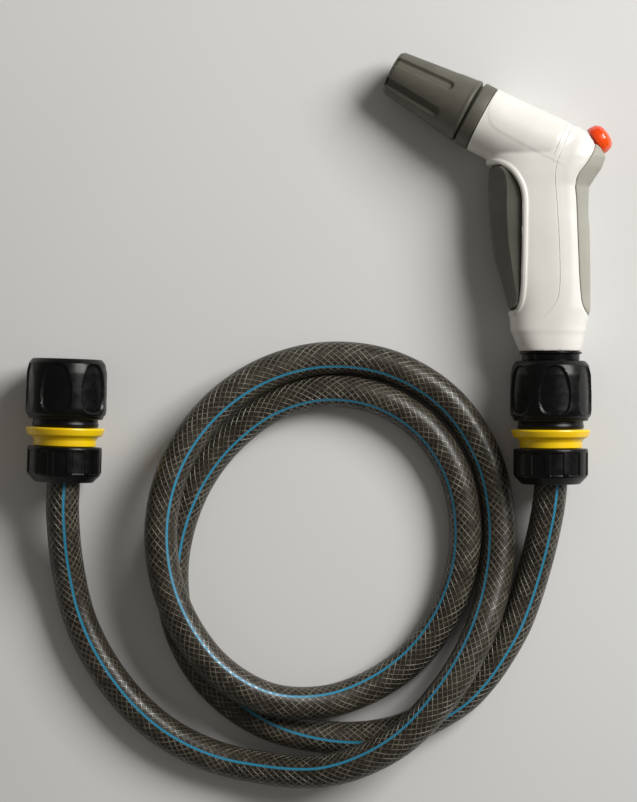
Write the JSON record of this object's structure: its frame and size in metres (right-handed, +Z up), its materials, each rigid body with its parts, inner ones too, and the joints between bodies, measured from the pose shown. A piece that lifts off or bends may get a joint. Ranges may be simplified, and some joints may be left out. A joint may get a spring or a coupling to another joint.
{
  "type": "handheld bath sprayer",
  "caption": "Pistol-grip water gun with twist nozzle, trigger and thumb lock, clicked on to a coiled braided hose that has a click-on connector at each end.",
  "frame": {"origin": "on the table, below the middle of the box round the gun and its own connector, hose and free connector left out", "axes": "+Z up from the table, +Y from the gun's connector towards the gun along the handle, +X to the back of the gun, away from its nozzle"},
  "size_m": [0.2929, 0.3694, 0.0406],
  "materials": {
    "white_plastic": "satin white plastic",
    "grey_soft": "matt soft-touch, light warm grey",
    "dark_plastic": "fine-grained dark grey-brown",
    "orange_plastic": "glossy translucent orange-red",
    "black_plastic": "satin black",
    "yellow_plastic": "satin yellow",
    "natural_plastic": "unpainted acetal or nylon",
    "steel": "stainless",
    "brass": "turned brass",
    "seal_rubber": "black seal rubber",
    "braided_hose": "glossy clear vinyl over pale braid on a dark grey liner, thin blue stripe"
  },
  "bodies": {
    "hose_line": {"hose": "braided_hose", "near_coupling_body": "black_plastic", "near_sleeve_spring": "steel", "near_lock_claws": "natural_plastic", "near_seal_ring": "seal_rubber", "near_hose_tail": "yellow_plastic", "near_clamp_collet": "natural_plastic", "near_clamp_nut": "black_plastic", "far_coupling_body": "black_plastic", "far_sleeve_spring": "steel", "far_lock_claws": "natural_plastic", "far_seal_ring": "seal_rubber", "far_hose_tail": "yellow_plastic", "far_clamp_collet": "natural_plastic", "far_clamp_nut": "black_plastic"},
    "gun": {"body_shell_upper": "white_plastic", "body_shell_lower": "white_plastic", "shell_screw_1": "steel", "shell_screw_2": "steel", "shell_screw_3": "steel", "shell_screw_4": "steel", "rear_grip_panel": "grey_soft", "trigger_pin": "steel", "trigger_spring": "steel", "button_spring": "steel", "inlet_nipple": "black_plastic", "nipple_o_ring": "seal_rubber", "water_tube": "natural_plastic", "valve_housing": "natural_plastic", "valve_gland": "brass", "valve_spring": "steel", "barrel": "natural_plastic", "barrel_o_ring": "seal_rubber", "pintle": "brass", "collar_ring": "dark_plastic"},
    "trigger": {"trigger": "dark_plastic"},
    "valve_stem": {"valve_stem": "brass", "valve_seal": "seal_rubber"},
    "lock_button": {"lock_button": "orange_plastic"},
    "nozzle_sleeve": {"nozzle_sleeve": "dark_plastic"},
    "nozzle_insert": {"nozzle_insert": "dark_plastic"},
    "near_sleeve": {"near_release_sleeve": "black_plastic"},
    "far_sleeve": {"far_release_sleeve": "black_plastic"}
  },
  "joints": [
    {"name": "gun_swivel", "type": "hinge", "parent": "hose_line", "child": "gun", "pos_m": [0.0269, -0.0475, 0.0203], "axis": [0, 1, 0], "continuous": true},
    {"name": "trigger_squeeze", "type": "hinge", "parent": "gun", "child": "trigger", "pos_m": [0.01346, -0.02042, 0.01908], "axis": [0.0906, 0, -0.9959], "range_deg": [0, 5], "stiffness_Nm_per_rad": 0.6, "springref_deg": -20.05},
    {"name": "stem_push", "type": "slide", "parent": "gun", "child": "valve_stem", "axis": [0.9959, 0, 0.0906], "range_m": [0, 0.0035]},
    {"name": "lock_button_press", "type": "slide", "parent": "gun", "child": "lock_button", "axis": [-0.8227, -0.5635, -0.0749], "range_m": [0, 0.003], "stiffness_N_per_m": 500, "springref_m": -0.003},
    {"name": "nozzle_twist", "type": "hinge", "parent": "gun", "child": "nozzle_sleeve", "pos_m": [-0.00666, 0.07478, 0.01725], "axis": [-0.876, 0.4756, -0.0797], "range_deg": [0, 270]},
    {"name": "insert_feed", "type": "slide", "parent": "gun", "child": "nozzle_insert", "axis": [0.876, -0.4756, 0.0797], "range_m": [0, 0.0046]},
    {"name": "near_sleeve_pull", "type": "slide", "parent": "hose_line", "child": "near_sleeve", "axis": [0, -1, 0], "range_m": [0, 0.0035], "stiffness_N_per_m": 800, "springref_m": -0.004},
    {"name": "far_sleeve_pull", "type": "slide", "parent": "hose_line", "child": "far_sleeve", "axis": [-0.0314, -0.9995, 0], "range_m": [0, 0.0035], "stiffness_N_per_m": 800, "springref_m": -0.004}
  ],
  "couplings": [
    {"joint": "stem_push", "follows": "trigger_squeeze", "m_per_rad": 0.039},
    {"joint": "insert_feed", "follows": "nozzle_twist", "m_per_rad": 0.00095}
  ]
}
